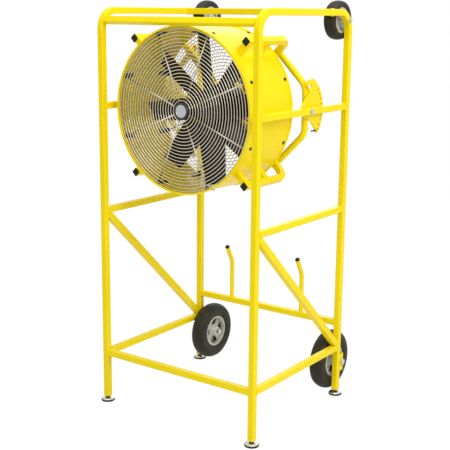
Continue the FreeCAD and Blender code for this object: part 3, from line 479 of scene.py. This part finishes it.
def rod(bm, start, end, radius, sides=10):
    """One round rod between two points"""
    along = end - start
    turn = Matrix.Translation((start + end) / 2) @ along.to_track_quat("Z", "Y").to_matrix().to_4x4()
    bmesh.ops.create_cone(
        bm, cap_ends=True, segments=sides, radius1=radius, radius2=radius, depth=along.length, matrix=turn)


def to_fan(bm, front):
    """Turns a shape made about Z, with Z forwards, on to the fan's axis"""
    turn = Matrix.Translation((0.0, front, FAN_AXIS_HEIGHT)) @ Matrix.Rotation(math.pi / 2, 4, "X")
    bmesh.ops.transform(bm, matrix=turn, verts=bm.verts)


def guard_wires(sizes, first, pitch, count, inner, way):
    """Rings outside eight spokes that end on the clips; way is 1 at the front and -1 at the back"""
    bm = bmesh.new()
    for index in range(count):
        wire_ring(bm, first + index * pitch, sizes.wire)
    for index in range(sizes.spokes):
        angle = TAU * (index + 0.5) / sizes.spokes
        out = Vector((math.cos(angle), math.sin(angle), 0.0))
        inside = Vector((0.0, 0.0, -way * (sizes.wire + sizes.spoke)))
        rod(bm, out * inner + inside, out * sizes.spoke_end + inside, sizes.spoke)
    return bm


class FAN_OT_finishes(bpy.types.Operator):
    """Gives every CAD node the finish of its material slot"""

    bl_idname = "fan.finishes"
    bl_label = "Finishes"

    def execute(self, context):
        colours = context.scene.fan_colours
        by_slot = {}
        for entry in frame["record"]["subparts"]:
            by_slot.setdefault(entry["material_slot"], []).append(entry["node"])
        paint(by_slot["yellow_paint"], enamel_finish(colours))
        paint(by_slot["black_plastic"], plastic_finish())
        paint(by_slot["black_steel"], oxide_finish())
        paint(by_slot["zinc_steel"], zinc_finish(colours))
        paint(by_slot["motor_black"] + by_slot["core_steel"], motor_finish())
        paint(by_slot["blade_black"], blade_finish(colours))
        paint(by_slot["badge_plate"], badge_finish())
        for name in by_slot["wheel_hub"]:
            paint([name], hub_finish(colours, name))
        paint(by_slot["chrome_wire"], chrome_finish(colours))
        return {"FINISHED"}


class FAN_OT_guards(bpy.types.Operator):
    """Makes the round wires of the front and rear guards"""

    bl_idname = "fan.guards"
    bl_label = "Wire guards"

    def execute(self, context):
        sizes = context.scene.fan_sizes
        chrome = bpy.data.materials["bright_chrome"]
        low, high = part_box("guard_cap")
        cap = (high.x - low.x) / 2
        low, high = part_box("front_guard")
        front = guard_wires(sizes, sizes.ring_first, sizes.ring_pitch, sizes.ring_count, cap, 1)
        to_fan(front, low.y + sizes.wire)
        keep_piece("front_guard_wires", front, chrome, "fan", ("front_guard",))
        low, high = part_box("rear_guard")
        rear = guard_wires(sizes, sizes.rear_first, sizes.ring_pitch, sizes.rear_count, sizes.rear_first, -1)
        to_fan(rear, high.y - sizes.wire)
        keep_piece("rear_guard_wires", rear, chrome, "fan", ("rear_guard",))
        return {"FINISHED"}


class FAN_OT_wheels(bpy.types.Operator):
    """Makes the ribbed tyres"""

    bl_idname = "fan.wheels"
    bl_label = "Tyres"

    def execute(self, context):
        rubber = rubber_finish(context.scene.fan_colours)
        for level in LEVELS:
            for side in SIDES:
                self.tyre("%s_%s" % (level, side), rubber)
        return {"FINISHED"}

    def tyre(self, wheel, rubber):
        name = wheel + "_tyre"
        low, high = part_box(name)
        hub_low, hub_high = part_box(wheel + "_hub")
        rim = (hub_high.z - hub_low.z) / 2
        radius = (high.z - low.z) / 2
        half = (high.x - low.x) / 2
        depth = radius - rim
        crown = []
        for index in range(TREAD_RIBS):
            for share, drop in TREAD_RIB:
                across = TREAD_HALF * (2 * (index + share) / TREAD_RIBS - 1)
                fall = TREAD_CROWN * across * across + drop * TREAD_GROOVE
                crown.append((radius - fall * depth, across * half))
        right = [(rim + rise * depth, across * half) for rise, across in TYRE_WALL]
        left = [(reach, -across) for reach, across in reversed(right)]
        bm = bmesh.new()
        spin_profile(bm, left + crown + right, 96)
        centre = (low + high) / 2
        bmesh.ops.transform(
            bm, matrix=Matrix.Translation(centre) @ Matrix.Rotation(math.pi / 2, 4, "Y"), verts=bm.verts)
        keep_piece(name + "_rubber", bm, rubber, wheel + "_wheel", (name,))


class FAN_OT_feet(bpy.types.Operator):
    """Makes the levelling feet: a plated cup and stud on a rubber sole"""

    bl_idname = "fan.feet"
    bl_label = "Levelling feet"

    def execute(self, context):
        sizes = context.scene.fan_sizes
        rubber = bpy.data.materials["tyre_rubber"]
        zinc = bpy.data.materials["zinc_plate"]
        plastic = bpy.data.materials["dark_plastic"]
        for end in ("front", "rear"):
            for side in SIDES:
                name = "%s_%s_foot" % (end, side)
                low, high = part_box(name)
                middle = Vector(((low.x + high.x) / 2, (low.y + high.y) / 2, 0.0))
                radius = (high.x - low.x) / 2
                sole = bmesh.new()
                outline = [(reach * radius, rise * sizes.sole) for reach, rise in FOOT_SOLE]
                spin_profile(sole, outline, 48, closed=False)
                bmesh.ops.translate(sole, vec=middle, verts=sole.verts)
                keep_piece(name + "_sole", sole, rubber, name + "_body")
                cup = bmesh.new()
                outline = [(reach * radius, rise * sizes.sole) for reach, rise in FOOT_CUP]
                outline += [(FOOT_STUD * radius, high.z), (0.0, high.z)]
                spin_profile(cup, outline, 48, closed=False)
                bmesh.ops.translate(cup, vec=middle, verts=cup.verts)
                keep_piece(name + "_cup", cup, zinc, name + "_body", (name,), smooth=False)
                nut = bmesh.new()
                bmesh.ops.create_cone(
                    nut, cap_ends=True, segments=6, radius1=NUT_RADIUS * radius, radius2=NUT_RADIUS * radius,
                    depth=NUT_HEIGHT * sizes.sole,
                    matrix=Matrix.Translation((0.0, 0.0, NUT_MIDDLE * sizes.sole)))
                bmesh.ops.bevel(
                    nut, geom=nut.edges, offset=NUT_BEVEL * radius, affect="EDGES", segments=2, profile=0.5,
                    material=-1)
                bmesh.ops.translate(nut, vec=middle, verts=nut.verts)
                keep_piece(name + "_nut", nut, plastic, name + "_body", smooth=False)
        return {"FINISHED"}


class FAN_OT_welds(bpy.types.Operator):
    """Lays the painted weld beads round the tube ends and the post feet"""

    bl_idname = "fan.welds"
    bl_label = "Weld beads"

    def execute(self, context):
        sizes = context.scene.fan_sizes
        bm = bmesh.new()
        for side in SIDES:
            for rail in ("bottom", "mid", "pivot"):
                self.tube_ends(bm, "%s_%s_rail" % (side, rail), "Y", sizes)
        for tube in ("rear_top_tube", "front_bottom_rail", "rear_cord_rail"):
            self.tube_ends(bm, tube, "X", sizes)
        for side in SIDES:
            low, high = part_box("%s_cord_post" % side)
            rail_low, rail_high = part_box("rear_cord_rail")
            foot = ((low.x + high.x) / 2, (rail_low.y + rail_high.y) / 2, rail_high.z)
            wire_ring(bm, sizes.post, sizes.bead, foot, 32)
        keep_piece("weld_beads", bm, bpy.data.materials["yellow_enamel"], "cart")
        return {"FINISHED"}

    def tube_ends(self, bm, node, axis, sizes):
        low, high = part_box(node)
        middle = (low + high) / 2
        along = Vector((1, 0, 0)) if axis == "X" else Vector((0, 1, 0))
        across = Vector((0, 1, 0)) if axis == "X" else Vector((1, 0, 0))
        up = Vector((0, 0, 1))
        half = (high.z - low.z) / 2
        reach = (high - low).dot(along) / 2
        for way in (-1, 1):
            end = middle + along * (way * reach)
            for first, second in ((across, up), (up, across)):
                for turn in (-1, 1):
                    self.seam(bm, end + first * (turn * half), second, half, sizes)

    def seam(self, bm, middle, along, half, sizes):
        """One straight row of overlapping drops"""
        count = round(2 * half / (1.3 * sizes.bead))
        for index in range(count):
            place = Matrix.Translation(middle + along * (half * (2 * (index + 0.5) / count - 1)))
            bmesh.ops.create_icosphere(bm, subdivisions=1, radius=sizes.bead, matrix=place)


class FAN_OT_motor(bpy.types.Operator):
    """Makes the motor's cooling fins and the rings of its rear cover"""

    bl_idname = "fan.motor"
    bl_label = "Motor fins"

    def execute(self, context):
        sizes = context.scene.fan_sizes
        shell_low, shell_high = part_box("motor_shell")
        band_low, band_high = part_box("motor_band")
        cover_low, cover_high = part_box("motor_rear_cover")
        box_low, box_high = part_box("terminal_box")
        radius = (shell_high.x - shell_low.x) / 2
        start = band_high.y + sizes.fin
        length = shell_high.y - sizes.fin - start
        bm = bmesh.new()
        for index in range(sizes.fins):
            angle = TAU * (index + 0.5) / sizes.fins
            if math.sin(angle) > 0 and abs(math.cos(angle)) * radius < box_high.x + sizes.fin:
                continue
            size = Matrix.Diagonal((2 * sizes.fin, length, sizes.fin / 2, 1.0))
            turn = Matrix.Rotation(-angle, 4, "Y") @ Matrix.Translation((radius, start + length / 2, 0.0))
            bmesh.ops.create_cube(
                bm, size=1.0, matrix=Matrix.Translation((0.0, 0.0, FAN_AXIS_HEIGHT)) @ turn @ size)
        bmesh.ops.bevel(
            bm, geom=bm.edges, offset=sizes.fin / 6, affect="EDGES", segments=2, profile=0.5, material=-1)
        keep_piece("motor_fins", bm, bpy.data.materials["motor_enamel"], "fan", smooth=False)
        rings = bmesh.new()
        for share in COVER_RINGS:
            wire_ring(rings, share * radius, sizes.wire, steps=72)
        to_fan(rings, cover_high.y)
        keep_piece("motor_cover_rings", rings, bpy.data.materials["motor_enamel"], "fan")
        return {"FINISHED"}


class FAN_OT_stops(bpy.types.Operator):
    """Makes the stop screws in the feet of the index plates"""

    bl_idname = "fan.stops"
    bl_label = "Stop screws"

    def execute(self, context):
        sizes = context.scene.fan_sizes
        bm = bmesh.new()
        for side in SIDES:
            low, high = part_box("%s_index_plate" % side)
            heel = Vector(((low.x + high.x) / 2, low.y + sizes.heel, low.z + sizes.heel_rise))
            forwards = Vector((0.0, -sizes.stop, 0.0))
            rod(bm, heel, heel + STOP_LENGTH * forwards, sizes.stop, 12)
            rod(bm, heel, heel + STOP_NUT_HEIGHT * forwards, STOP_NUT_RADIUS * sizes.stop, 6)
        keep_piece("stop_screws", bm, bpy.data.materials["black_oxide"], "fan", smooth=False)
        return {"FINISHED"}


class FAN_OT_stage(bpy.types.Operator):
    """Sets the floor, the lights and the camera"""

    bl_idname = "fan.stage"
    bl_label = "Stage"

    def execute(self, context):
        stage = context.scene.fan_stage
        self.floor(stage)
        self.world(stage)
        for name, place, width in LAMPS:
            self.lamp(name, Vector(place), getattr(stage, name), width)
        self.camera(context.scene, stage)
        context.scene.view_settings.view_transform = "Standard"
        return {"FINISHED"}

    def floor(self, stage):
        bm = bmesh.new()
        bmesh.ops.create_grid(bm, x_segments=1, y_segments=1, size=FLOOR_HALF)
        bmesh.ops.translate(bm, vec=(0.0, 0.0, -FLOOR_DROP), verts=bm.verts)
        mesh = bpy.data.meshes.new("floor")
        bm.to_mesh(mesh)
        bm.free()
        floor = bpy.data.objects.new("floor", mesh)
        bpy.context.scene.collection.objects.link(floor)
        finish = Finish("pale_floor", (0.86, 0.86, 0.86), 0.9)
        lit = Flow(finish, finish.shader.outputs[0])
        white = finish.node("ShaderNodeEmission", None, {"Strength": stage.glow})
        finish.surface("Material Output", finish.seen() * stage.paleness, lit, white)
        mesh.materials.append(finish.material)

    def world(self, stage):
        world = bpy.data.worlds.new("studio")
        bpy.context.scene.world = world
        world.use_nodes = True
        shading = Shading(world.node_tree)
        white = (1.0, 1.0, 1.0, 1.0)
        light = shading.node("ShaderNodeBackground", None, {"Color": white, "Strength": stage.sky})
        backdrop = shading.node("ShaderNodeBackground", None, {"Color": white, "Strength": 1.0})
        shading.surface("World Output", shading.seen(), light, backdrop)

    def lamp(self, name, place, power, width):
        data = bpy.data.lights.new(name, "AREA")
        data.energy = power
        data.size = width
        lamp = bpy.data.objects.new(name, data)
        lamp.location = LAMP_AIM + place
        lamp.rotation_euler = (-place).to_track_quat("-Z", "Y").to_euler()
        bpy.context.scene.collection.objects.link(lamp)

    def camera(self, scene, stage):
        data = bpy.data.cameras.new("camera")
        data.lens = stage.lens
        data.sensor_width = 36.0
        data.clip_end = 100.0
        camera = bpy.data.objects.new("camera", data)
        scene.collection.objects.link(camera)
        turn = Matrix.Rotation(stage.azimuth, 4, "Z") @ Matrix.Rotation(math.pi / 2 - stage.pitch, 4, "X")
        turn = turn @ Matrix.Rotation(stage.roll, 4, "Z")
        place = Vector(stage.place) + Vector((0.0, LEG_MIDDLE_Y, 0.0))
        camera.matrix_world = Matrix.Translation(place) @ turn
        scene.camera = camera


class FAN_PT_panel(bpy.types.Panel):
    """Lists the steps that dress the fan"""

    bl_idname = "FAN_PT_panel"
    bl_label = "Drum Fan"
    bl_space_type = "VIEW_3D"
    bl_region_type = "UI"
    bl_category = "Drum Fan"

    def draw(self, context):
        for step in STEPS:
            self.layout.operator(step.bl_idname)


STEPS = (
    FAN_OT_finishes, FAN_OT_guards, FAN_OT_wheels, FAN_OT_feet,
    FAN_OT_welds, FAN_OT_motor, FAN_OT_stops, FAN_OT_stage)
CLASSES = (FanSizes, FanColours, StageValues, *STEPS, FAN_PT_panel)


def register():
    for item in CLASSES:
        bpy.utils.register_class(item)
    bpy.types.Scene.fan_sizes = PointerProperty(type=FanSizes)
    bpy.types.Scene.fan_colours = PointerProperty(type=FanColours)
    bpy.types.Scene.fan_stage = PointerProperty(type=StageValues)


def unregister():
    del bpy.types.Scene.fan_stage
    del bpy.types.Scene.fan_colours
    del bpy.types.Scene.fan_sizes
    for item in reversed(CLASSES):
        bpy.utils.unregister_class(item)


def main():
    register()
    bpy.ops.fan.finishes()
    bpy.ops.fan.guards()
    bpy.ops.fan.wheels()
    bpy.ops.fan.feet()
    bpy.ops.fan.welds()
    bpy.ops.fan.motor()
    bpy.ops.fan.stops()
    bpy.ops.fan.stage()


if __name__ == "__main__":
    main()
